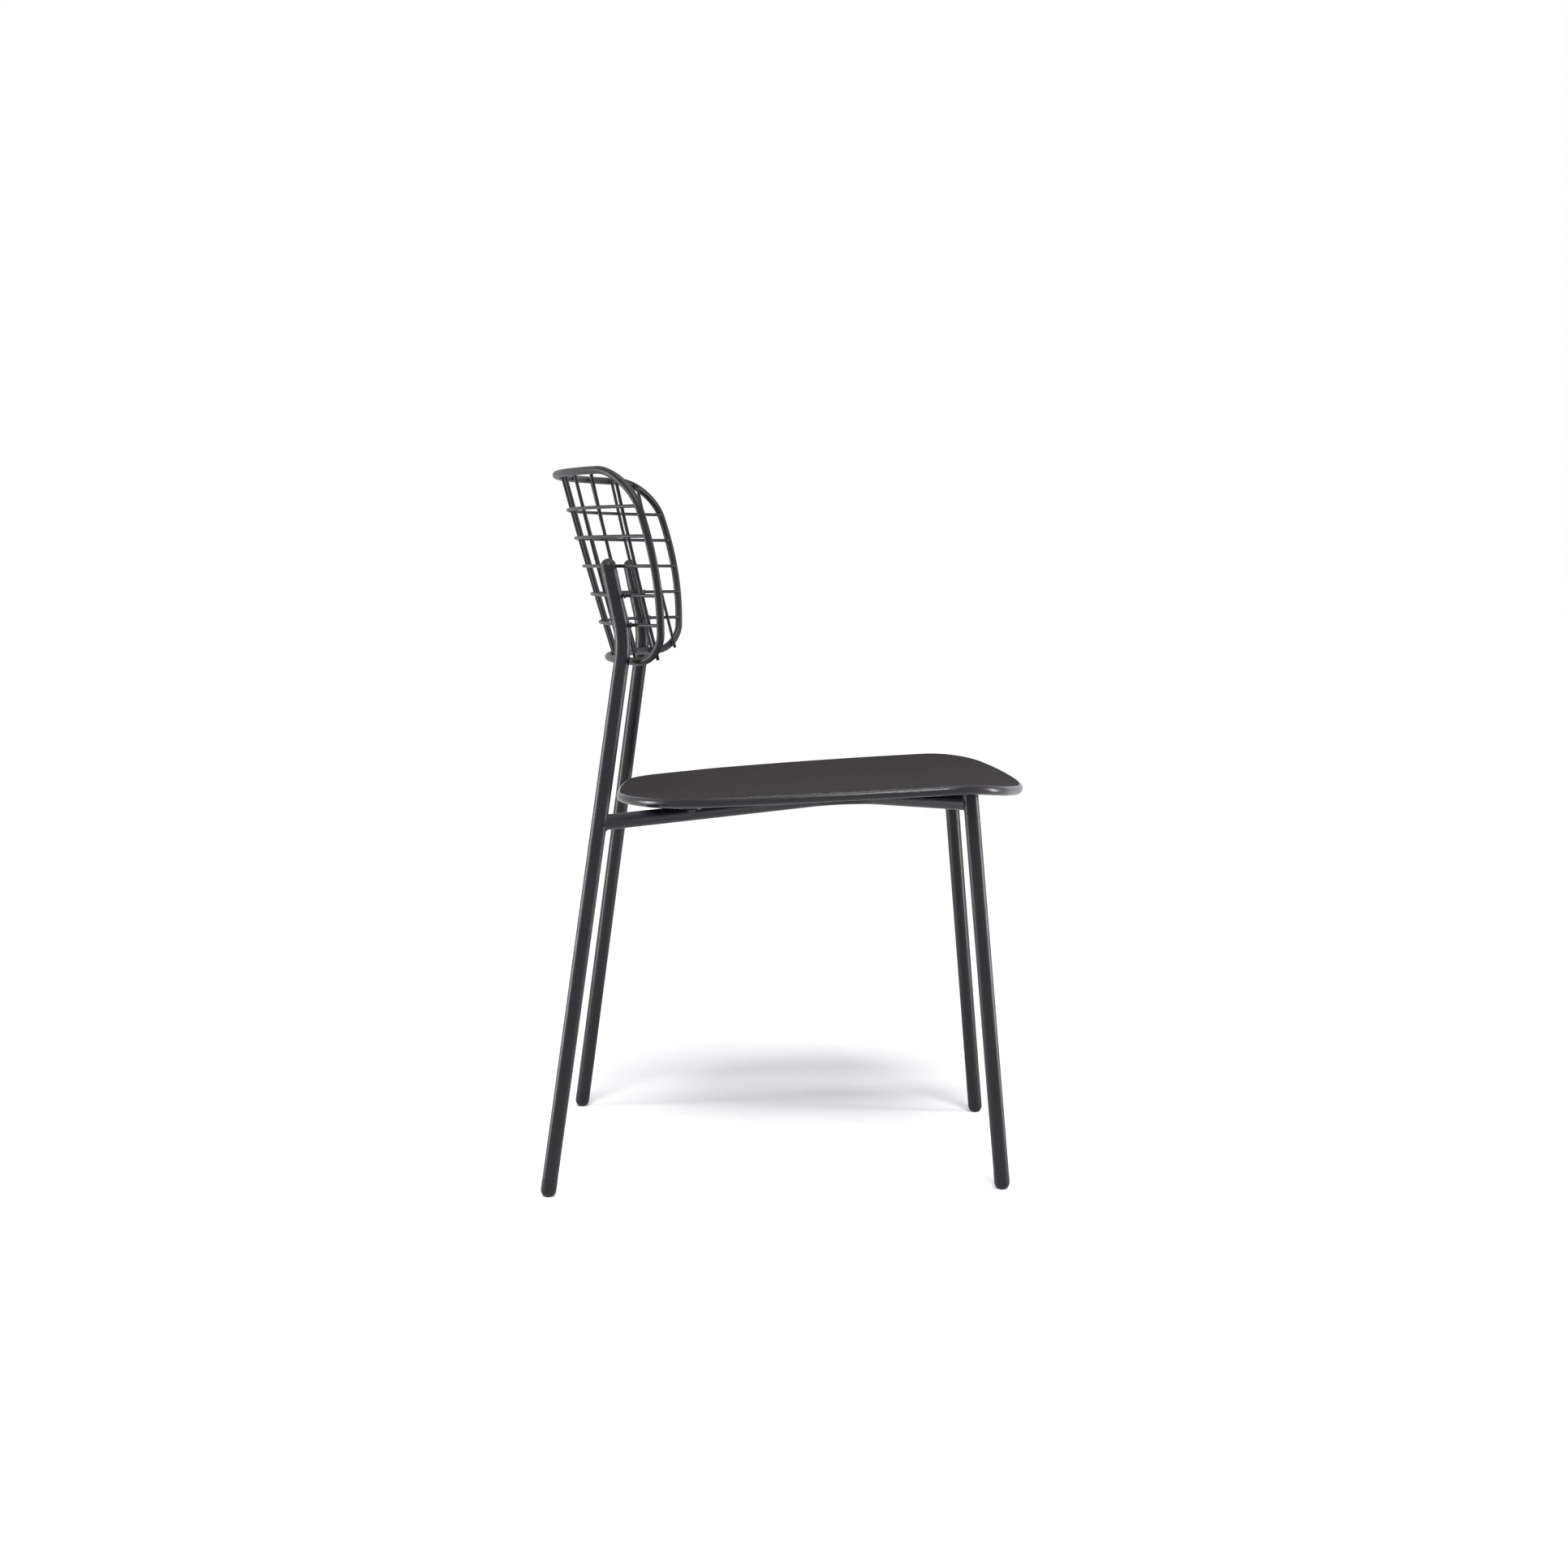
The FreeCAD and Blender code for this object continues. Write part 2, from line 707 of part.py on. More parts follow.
def make_parts():
    """Every node by name, as one solid each or as a group of like solids."""
    parts = {}

    def pair(name, shape):
        parts[name + "_left"] = shape
        parts[name + "_right"] = mirrored(shape)

    rear_up = (rear_head - knee).normalize()
    front_up = (front_head - front_foot).normalize()
    pair("rear_leg", tube(rear_path))
    pair("rear_leg_plug", make_dome_plug(rear_head, rear_up))
    pair("front_leg", tube(front_path))
    pair("front_leg_cap", make_leg_cap(front_head, front_up))
    pair("foot_glide_rear", make_glide(rear_foot, knee))
    pair("foot_glide_front", make_glide(front_foot, front_head))
    pair("seat_rail", make_rail())

    seat = make_seat()
    parts["seat_shell"] = seat
    rail_bar = sweep(rail_path, tube_radius)
    mounts = {"rear": rear_mount_y, "front": front_mount_y}
    for name, y in mounts.items():
        pair("seat_mount_plate_" + name, make_mount_plate(y, rail_bar))
        pair("seat_bush_" + name, make_bush(y, seat))
    screws = [make_screw(y) for y in mounts.values()]
    parts["seat_screws"] = Part.makeCompound(screws + [mirrored(screw) for screw in screws])

    frame = make_back_frame()
    parts["back_frame"] = frame
    for row in range(1, row_count + 1):
        parts[f"back_wire_horizontal_{row}"] = make_row(row, frame)
    for column in range(column_count):
        offset = column - (column_count - 1) / 2
        parts[f"back_wire_vertical_{column + 1}"] = make_column(offset)
    return parts


def main():
    os.makedirs("parts", exist_ok=True)
    for name, shape in make_parts().items():
        shape.exportStep(f"parts/{name}.step")


main()
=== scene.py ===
import logging
import math
from dataclasses import dataclass, replace
from enum import Enum
from typing import Any, Sequence

import bmesh
import bpy
from mathutils import Matrix, Vector


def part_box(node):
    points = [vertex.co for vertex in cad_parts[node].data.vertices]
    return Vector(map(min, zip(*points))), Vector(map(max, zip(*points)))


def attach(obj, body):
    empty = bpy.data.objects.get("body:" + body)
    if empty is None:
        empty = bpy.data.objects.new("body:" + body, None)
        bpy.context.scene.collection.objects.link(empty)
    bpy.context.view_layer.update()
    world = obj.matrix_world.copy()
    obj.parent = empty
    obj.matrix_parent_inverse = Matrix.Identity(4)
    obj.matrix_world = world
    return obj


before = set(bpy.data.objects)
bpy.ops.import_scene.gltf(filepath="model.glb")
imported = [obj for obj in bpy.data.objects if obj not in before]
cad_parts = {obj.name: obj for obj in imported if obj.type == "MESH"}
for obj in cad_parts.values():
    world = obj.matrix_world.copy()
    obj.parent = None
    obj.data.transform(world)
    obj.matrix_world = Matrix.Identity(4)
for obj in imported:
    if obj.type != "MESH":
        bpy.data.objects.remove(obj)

# Looks of a side chair of powder coated steel tube, rod and wire with a formed sheet seat.
# Everything is in metres in the frame of the solids: floor at Z 0, seat front to -Y.

Colour = tuple[float, float, float, float]
Place = tuple[float, float, float]
Pair = tuple[float, float]

LOG = logging.getLogger("chair")
BODY = "root"
MM = 0.001
X_AXIS = Vector((1, 0, 0))
Y_AXIS = Vector((0, 1, 0))
Z_AXIS = Vector((0, 0, 1))

# The sRGB curve is a straight line up to its knee and a power above it.
CHANNEL_TOP = 255
SRGB_KNEE = 0.04045
SRGB_SLOPE = 12.92
SRGB_OFFSET = 0.055
SRGB_POWER = 2.4
WHITE: Colour = (1.0, 1.0, 1.0, 1.0)

# Sockets of a colour mix that share their names with others.
MIX_FIRST = 6
MIX_SECOND = 7
MIX_RESULT = 2


class Slot(Enum):
    """A material slot's name, which nothing in this script uses."""

    FRAME = "frame_paint"


class Side(Enum):
    """The sitter's sides, as the nodes' names have them."""

    LEFT = "left"
    RIGHT = "right"


class End(Enum):
    """The chair's ends, as the legs' names have them."""

    REAR = "rear"
    FRONT = "front"


def linear(code: str) -> Colour:
    """Turns an sRGB hex colour to linear light.

    Args:
        code: The colour as #rrggbb.

    Returns:
        Red, green, blue and an alpha of 1.
    """
    channels = [int(code[start:start + 2], 16) / CHANNEL_TOP for start in (1, 3, 5)]
    lit = [value / SRGB_SLOPE if value <= SRGB_KNEE
           else ((value + SRGB_OFFSET) / (1 + SRGB_OFFSET)) ** SRGB_POWER
           for value in channels]
    return (lit[0], lit[1], lit[2], 1.0)


def per_metre(size_mm: float) -> float:
    """Pattern scale at which one feature is this many millimetres across."""
    return 1.0 / (size_mm * MM)


def shares(count: int) -> list[float]:
    """Evenly spaced values from -1 to 1."""
    return [2 * step / (count - 1) - 1 for step in range(count)]


def turns(count: int) -> list[float]:
    """Evenly spaced angles of one full turn, in radians."""
    return [math.tau * step / count for step in range(count)]


def add_node(tree: bpy.types.NodeTree, kind: str, inputs: dict[Any, Any] | None = None,
             stops: Sequence[tuple[float, Colour]] = (), **settings: Any) -> bpy.types.Node:
    """Adds a node with its settings, socket values, links and colour stops.

    Args:
        tree: The node tree.
        kind: Blender's name of the node type.
        inputs: Values or output sockets by the input's name or index.
        stops: Positions and linear colours of a colour ramp, lowest first.
        **settings: The node's own properties.

    Returns:
        The new node.
    """
    node = tree.nodes.new(kind)
    for key, value in settings.items():
        setattr(node, key, value)
    for key, value in (inputs or {}).items():
        if isinstance(value, bpy.types.NodeSocket):
            tree.links.new(value, node.inputs[key])
        else:
            node.inputs[key].default_value = value
    if stops:
        elements = node.color_ramp.elements
        while len(elements) < len(stops):
            elements.new(1.0)
        for element, (position, colour) in zip(elements, stops):
            element.position = position
            element.color = colour
    return node


def new_material(name: str) -> tuple[bpy.types.Material, bpy.types.NodeTree]:
    """Makes an empty node material.

    Args:
        name: The material's name.

    Returns:
        The material and its node tree.
    """
    material = bpy.data.materials.new(name)
    material.use_nodes = True
    material.node_tree.nodes.clear()
    return material, material.node_tree


@dataclass(frozen=True)
class PowderCoat:
    """Polyester powder coat with a fine cured texture, baked on steel.

    The fused grains give the eye a soft broken highlight and a faint light speckle.
    """

    name: str
    body: str
    shade: str
    fleck: str
    roughness: float
    roughness_swing: float = 0.06
    # The real grain is 0.2 to 0.4 mm, too fine to show, so it is drawn coarser.
    grain_mm: float = 1.5
    grain_detail: float = 2.0
    grain_breakup: float = 0.6
    grain_levels: Pair = (0.3, 0.7)
    fleck_mm: float = 2.4
    fleck_detail: float = 3.0
    fleck_breakup: float = 0.7
    # Levels of the fleck pattern: full shade, body from and to, full fleck.
    fleck_levels: tuple[float, float, float, float] = (0.30, 0.52, 0.66, 0.76)
    mottle_mm: float = 60.0
    mottle_detail: float = 2.0
    mottle_levels: Pair = (0.30, 0.70)
    mottle_grey: Colour = (0.90, 0.90, 0.90, 1.0)
    relief_mm: float = 0.10
    relief_strength: float = 0.35
    specular: float = 0.5
    ior: float = 1.5

    def build(self) -> bpy.types.Material:
        """Builds the material.

        Returns:
            The finished material.
        """
        material, tree = new_material(self.name)
        place = add_node(tree, "ShaderNodeTexCoord").outputs["Object"]
        grain = add_node(tree, "ShaderNodeTexNoise",
                         {"Vector": place, "Scale": per_metre(self.grain_mm),
                          "Detail": self.grain_detail, "Roughness": self.grain_breakup})
        flecks = add_node(tree, "ShaderNodeTexNoise",
                          {"Vector": place, "Scale": per_metre(self.fleck_mm),
                           "Detail": self.fleck_detail, "Roughness": self.fleck_breakup})
        mottle = add_node(tree, "ShaderNodeTexNoise",
                          {"Vector": place, "Scale": per_metre(self.mottle_mm),
                           "Detail": self.mottle_detail})
        tones = [linear(code) for code in (self.shade, self.body, self.body, self.fleck)]
        coat = add_node(tree, "ShaderNodeValToRGB", {"Fac": flecks.outputs["Fac"]},
                        stops=list(zip(self.fleck_levels, tones)))
        cloud = add_node(tree, "ShaderNodeValToRGB", {"Fac": mottle.outputs["Fac"]},
                         stops=list(zip(self.mottle_levels, (self.mottle_grey, WHITE))))
        colour = add_node(tree, "ShaderNodeMix",
                          {"Factor": 1.0, MIX_FIRST: coat.outputs["Color"],
                           MIX_SECOND: cloud.outputs["Color"]},
                          data_type="RGBA", blend_type="MULTIPLY")
        low, high = self.grain_levels
        rough = add_node(tree, "ShaderNodeMapRange",
                         {"Value": grain.outputs["Fac"], "From Min": low, "From Max": high,
                          "To Min": self.roughness - self.roughness_swing,
                          "To Max": self.roughness + self.roughness_swing})
        relief = add_node(tree, "ShaderNodeBump",
                          {"Height": grain.outputs["Fac"], "Strength": self.relief_strength,
                           "Distance": self.relief_mm * MM})
        shader = add_node(tree, "ShaderNodeBsdfPrincipled",
                          {"Base Color": colour.outputs[MIX_RESULT],
                           "Roughness": rough.outputs["Result"],
                           "Normal": relief.outputs["Normal"], "IOR": self.ior,
                           "Specular IOR Level": self.specular})
        add_node(tree, "ShaderNodeOutputMaterial", {"Surface": shader.outputs["BSDF"]})
        return material


@dataclass(frozen=True)
class MouldedPolymer:
    """Injection moulded polyamide or polyethylene with a spark-eroded mould texture.

    It gives the eye an even, slightly waxy dark surface with dull highlights.
    """

    name: str
    body: str
    rubbed: str
    roughness: float
    roughness_swing: float = 0.08
    # The eroded texture is about 0.1 mm across and is drawn coarser so that it shows.
    texture_mm: float = 0.8
    texture_detail: float = 2.0
    flow_mm: float = 25.0
    flow_detail: float = 3.0
    flow_levels: Pair = (0.35, 0.75)
    relief_mm: float = 0.04
    relief_strength: float = 0.3
    specular: float = 0.2
    ior: float = 1.53

    def build(self) -> bpy.types.Material:
        """Builds the material.

        Returns:
            The finished material.
        """
        material, tree = new_material(self.name)
        place = add_node(tree, "ShaderNodeTexCoord").outputs["Object"]
        texture = add_node(tree, "ShaderNodeTexNoise",
                           {"Vector": place, "Scale": per_metre(self.texture_mm),
                            "Detail": self.texture_detail})
        flow = add_node(tree, "ShaderNodeTexNoise",
                        {"Vector": place, "Scale": per_metre(self.flow_mm),
                         "Detail": self.flow_detail})
        tones = (linear(self.body), linear(self.rubbed))
        colour = add_node(tree, "ShaderNodeValToRGB", {"Fac": flow.outputs["Fac"]},
                          stops=list(zip(self.flow_levels, tones)))
        rough = add_node(tree, "ShaderNodeMapRange",
                         {"Value": texture.outputs["Fac"],
                          "To Min": self.roughness - self.roughness_swing,
                          "To Max": self.roughness + self.roughness_swing})
        relief = add_node(tree, "ShaderNodeBump",
                          {"Height": texture.outputs["Fac"], "Strength": self.relief_strength,
                           "Distance": self.relief_mm * MM})
        shader = add_node(tree, "ShaderNodeBsdfPrincipled",
                          {"Base Color": colour.outputs["Color"],
                           "Roughness": rough.outputs["Result"],
                           "Normal": relief.outputs["Normal"], "IOR": self.ior,
                           "Specular IOR Level": self.specular})
        add_node(tree, "ShaderNodeOutputMaterial", {"Surface": shader.outputs["BSDF"]})
        return material


@dataclass(frozen=True)
class ZincPlate:
    """Zinc plate with a black passivation, on a cold formed steel screw.

    It gives the eye a dark metal sheen with cloudy patches.
    """

    name: str
    body: str
    cloud: str
    roughness: float
    roughness_drop: float = 0.08
    roughness_rise: float = 0.10
    cloud_mm: float = 3.0
    cloud_detail: float = 4.0
    cloud_levels: Pair = (0.35, 0.70)

    def build(self) -> bpy.types.Material:
        """Builds the material.

        Returns:
            The finished material.
        """
        material, tree = new_material(self.name)
        place = add_node(tree, "ShaderNodeTexCoord").outputs["Object"]
        cloud = add_node(tree, "ShaderNodeTexNoise",
                         {"Vector": place, "Scale": per_metre(self.cloud_mm),
                          "Detail": self.cloud_detail})
        tones = (linear(self.body), linear(self.cloud))
        colour = add_node(tree, "ShaderNodeValToRGB", {"Fac": cloud.outputs["Fac"]},
                          stops=list(zip(self.cloud_levels, tones)))
        rough = add_node(tree, "ShaderNodeMapRange",
                         {"Value": cloud.outputs["Fac"],
                          "To Min": self.roughness - self.roughness_drop,
                          "To Max": self.roughness + self.roughness_rise})
        shader = add_node(tree, "ShaderNodeBsdfPrincipled",
                          {"Base Color": colour.outputs["Color"],
                           "Roughness": rough.outputs["Result"], "Metallic": 1.0})
        add_node(tree, "ShaderNodeOutputMaterial", {"Surface": shader.outputs["BSDF"]})
        return material


TUBE_COAT = PowderCoat("powder_coat_anthracite_tube", body="#16161c", shade="#0f0f14",
                       fleck="#37373f", roughness=0.36, specular=0.25)
WIRE_COAT = PowderCoat("powder_coat_anthracite_wire", body="#15151a", shade="#0f0f13",
                       fleck="#2b2b32", roughness=0.42, fleck_mm=2.0, relief_mm=0.04,
                       relief_strength=0.15, specular=0.22)
SEAT_COAT = PowderCoat("powder_coat_textured_seat_top", body="#242022", shade="#1b181a",
                       fleck="#353033", roughness=0.85, specular=0.06)
# The seat is one coat. The rim, the underside and the bushes take a darker, glossier copy of it, and
# its darker colours are painted shade.
SHADED_RIM_COAT = PowderCoat("powder_coat_seat_rim_painted_shade", body="#1b1a1d", shade="#141316",
                      fleck="#2b292c", roughness=0.27, specular=0.3)
WELD_COAT = PowderCoat("powder_coat_over_weld", body="#1d1c20", shade="#151418",
                       fleck="#2c2b30", roughness=0.50, relief_mm=0.25, specular=0.3)
PLUG_POLYMER = MouldedPolymer("polyamide_plug_moulded", body="#17171c", rubbed="#1f1f25",
                              roughness=0.44)
GLIDE_POLYMER = MouldedPolymer("polyethylene_glide_moulded", body="#121216",
                               rubbed="#18181c", roughness=0.50)
SCREW_PLATE = ZincPlate("black_zinc_plate_screw", body="#2c2c30", cloud="#3b3b40",
                        roughness=0.38)


def dress(node: str, material: bpy.types.Material) -> None:
    """Puts one material on a solid of the frame.

    Args:
        node: The node's name.
        material: The finish.
    """
    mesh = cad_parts[node].data
    mesh.materials.clear()
    mesh.materials.append(material)


def solids(*beginnings: str) -> list[str]:
    """Names of the frame's nodes that begin with any of these words."""
    return sorted(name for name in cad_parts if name.startswith(beginnings))


def cut_centre(node: str, point: Vector, normal: Vector,
               reach: float = math.inf) -> Vector | None:
    """Middle of the section that a plane cuts through a bar.

    Args:
        node: The bar's node.
        point: A point of the plane.
        normal: The plane's direction.
        reach: How far from that point the section may lie.

    Returns:
        The middle of the cut, or None where the plane misses the bar.
    """
    shape = bmesh.new()
    shape.from_mesh(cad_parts[node].data)
    geometry = shape.verts[:] + shape.edges[:] + shape.faces[:]
    cut = bmesh.ops.bisect_plane(shape, geom=geometry, plane_co=point, plane_no=normal)
    found = [part.co.copy() for part in cut["geom_cut"]
             if isinstance(part, bmesh.types.BMVert) and (part.co - point).length < reach]
    shape.free()
    if not found:
        return None
    low = Vector([min(corner[axis] for corner in found) for axis in range(3)])
    high = Vector([max(corner[axis] for corner in found) for axis in range(3)])
    return (low + high) / 2


@dataclass
class Bead:
    """One rounded weld bead, with its half sizes along and across its heading."""

    centre: Vector
    size: Vector
    heading: Vector
    subdivisions: int = 2

    def add_to(self, shape: bmesh.types.BMesh) -> None:
        """Adds the bead to a mesh.

        Args:
            shape: The mesh under construction.
        """
        turn = self.heading.to_track_quat("X", "Z").to_matrix().to_4x4()
        place = Matrix.Translation(self.centre) @ turn @ Matrix.Diagonal((*self.size, 1.0))
        bmesh.ops.create_icosphere(shape, subdivisions=self.subdivisions, radius=1.0,
                                   matrix=place)


@dataclass
class Seam:
    """A run of overlapping weld ripples."""

    points: list[Vector]
    radius: float

    def beads(self) -> list[Bead]:
        """One small round bead at each point."""
        return [Bead(point, Vector((self.radius,) * 3), X_AXIS) for point in self.points]


def piece_from(name: str, shape: bmesh.types.BMesh, material: bpy.types.Material) -> bpy.types.Object:
    """Turns a finished mesh into a piece that rides on the chair.

    Args:
        name: The piece's name.
        shape: The mesh under construction, which is freed.
        material: The finish.

    Returns:
        The new object, at the origin.
    """
    mesh = bpy.data.meshes.new(name)
    shape.to_mesh(mesh)
    shape.free()
    mesh.materials.append(material)
    for polygon in mesh.polygons:
        polygon.use_smooth = True
    piece = bpy.data.objects.new(name, mesh)
    bpy.context.scene.collection.objects.link(piece)
    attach(piece, BODY)
    return piece


def piece_of_beads(name: str, beads: list[Bead], weld: bpy.types.Material) -> bpy.types.Object:
    """Makes one piece of a group of beads.

    Args:
        name: The piece's name.
        beads: The beads.
        weld: The finish over the welds.

    Returns:
        The new object.
    """
    shape = bmesh.new()
    for bead in beads:
        bead.add_to(shape)
    return piece_from(name, shape, weld)


@dataclass
class BackMesh:
    """The welded wire backrest and its beads."""

    rows: int = 5
    columns: int = 10
    post_rows: tuple[int, ...] = (4, 5)
    wire_radius: float = 2 * MM
    bead_across: float = 1.9 * MM
    bead_deep: float = 1.5 * MM
    end_across: float = 2.8 * MM
    end_deep: float = 1.9 * MM
    post_across: float = 3.4 * MM
    post_deep: float = 2.1 * MM
    end_inset: float = 1.5 * MM
    frame_reach: float = 16 * MM
    frame_rod_radius: float = 4.5 * MM
    stub_short_of_rail: float = 2.4 * MM
    stub_least: float = 0.4 * MM
    stub_sides: int = 20

    def row_height(self, row: int) -> float:
        """Height of a row wire's middle."""
        low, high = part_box(f"back_wire_horizontal_{row}")
        return (low.z + high.z) / 2

    def crossings(self) -> list[Bead]:
        """Beads where each row wire crosses each column wire.

        Returns:
            One bead for each crossing.
        """
        beads = []
        size = Vector((self.bead_deep, self.bead_across, self.bead_across))
        for row in range(1, self.rows + 1):
            level = Z_AXIS * self.row_height(row)
            for column in range(1, self.columns + 1):
                upright = cut_centre(f"back_wire_vertical_{column}", level, Z_AXIS)
                if upright is None:
                    continue
                across = cut_centre(f"back_wire_horizontal_{row}", upright, X_AXIS)
                if across is not None:
                    beads.append(Bead((upright + across) / 2, size, across - upright))
        return beads

    def row_ends(self) -> list[Bead]:
        """Beads where each row wire butts against the frame rod.

        Returns:
            Two beads for each row.
        """
        beads = []
        size = Vector((self.end_deep, self.end_across, self.end_across))
        for row in range(1, self.rows + 1):
            node = f"back_wire_horizontal_{row}"
            low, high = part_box(node)
            for edge in (low.x + self.end_inset, high.x - self.end_inset):
                tip = cut_centre(node, X_AXIS * edge, X_AXIS)
                if tip is not None:
                    beads.append(Bead(tip, size, X_AXIS))
        return beads

    def column_ends(self) -> list[Bead]:
        """Beads where each column wire lies against the frame rod.

        Returns:
            Two beads for each column, where the rod is found.
        """
        beads = []
        size = Vector((self.bead_deep, self.end_across, self.end_across))
        for column in range(1, self.columns + 1):
            node = f"back_wire_vertical_{column}"
            low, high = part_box(node)
            for level in (low.z + self.end_inset, high.z - self.end_inset):
                tip = cut_centre(node, Z_AXIS * level, Z_AXIS)
                rod = cut_centre("back_frame", tip, X_AXIS, self.frame_reach)
                if rod is not None:
                    towards = (rod - tip).normalized()
                    beads.append(Bead(tip + towards * self.wire_radius, size, towards))
        return beads

    def post_joints(self) -> list[Bead]:
        """Beads where the rear legs' upper ends lie against the row wires.

        Returns:
            One bead for each leg and row.
        """
        beads = []
        size = Vector((self.post_deep, self.post_across, self.post_across))
        for side in Side:
            for row in self.post_rows:
                level = Z_AXIS * self.row_height(row)
                post = cut_centre(f"rear_leg_{side.value}", level, Z_AXIS)
                wire = cut_centre(f"back_wire_horizontal_{row}", post, X_AXIS)
                towards = (post - wire).normalized()
                beads.append(Bead(wire + towards * self.wire_radius, size, towards))
        return beads

    def add_stubs(self, coat: bpy.types.Material) -> bpy.types.Object:
        """Carries the outer column wires on past the frame's lower corners.

        Args:
            coat: The wires' finish.

        Returns:
            The piece that holds the stubs.
        """
        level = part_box("back_frame")[0].z + self.frame_rod_radius + self.stub_short_of_rail
        shape = bmesh.new()
        for column in (1, 2, self.columns - 1, self.columns):
            node = f"back_wire_vertical_{column}"
            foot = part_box(node)[0].z + self.end_inset
            tip = cut_centre(node, Z_AXIS * foot, Z_AXIS)
            inner = cut_centre(node, Z_AXIS * (foot + self.frame_reach), Z_AXIS)
            heading = (tip - inner).normalized()
            length = (level - tip.z) / heading.z
            if length > self.end_inset + self.stub_least:
                turn = heading.to_track_quat("Z", "X").to_matrix().to_4x4()
                place = Matrix.Translation(tip + heading * (length / 2)) @ turn
                bmesh.ops.create_cone(shape, cap_ends=True, segments=self.stub_sides,
                                      radius1=self.wire_radius, radius2=self.wire_radius,
                                      depth=length, matrix=place)
        piece = piece_from("outer_column_stubs", shape, coat)
        for polygon in piece.data.polygons:
            polygon.use_smooth = len(polygon.vertices) < self.stub_sides
        return piece

    def build(self, coat: bpy.types.Material,
              weld: bpy.types.Material) -> list[bpy.types.Object]:
        """Dresses the rods and wires and adds the beads and stubs.

        Args:
            coat: The wires' finish.
            weld: The finish over the welds.

        Returns:
            The added pieces.
        """
        for node in solids("back_"):
            dress(node, coat)
        return [piece_of_beads("mesh_weld_beads", self.crossings(), weld),
                piece_of_beads("frame_weld_beads", self.row_ends() + self.column_ends(), weld),
                piece_of_beads("post_weld_beads", self.post_joints(), weld),
                self.add_stubs(coat)]


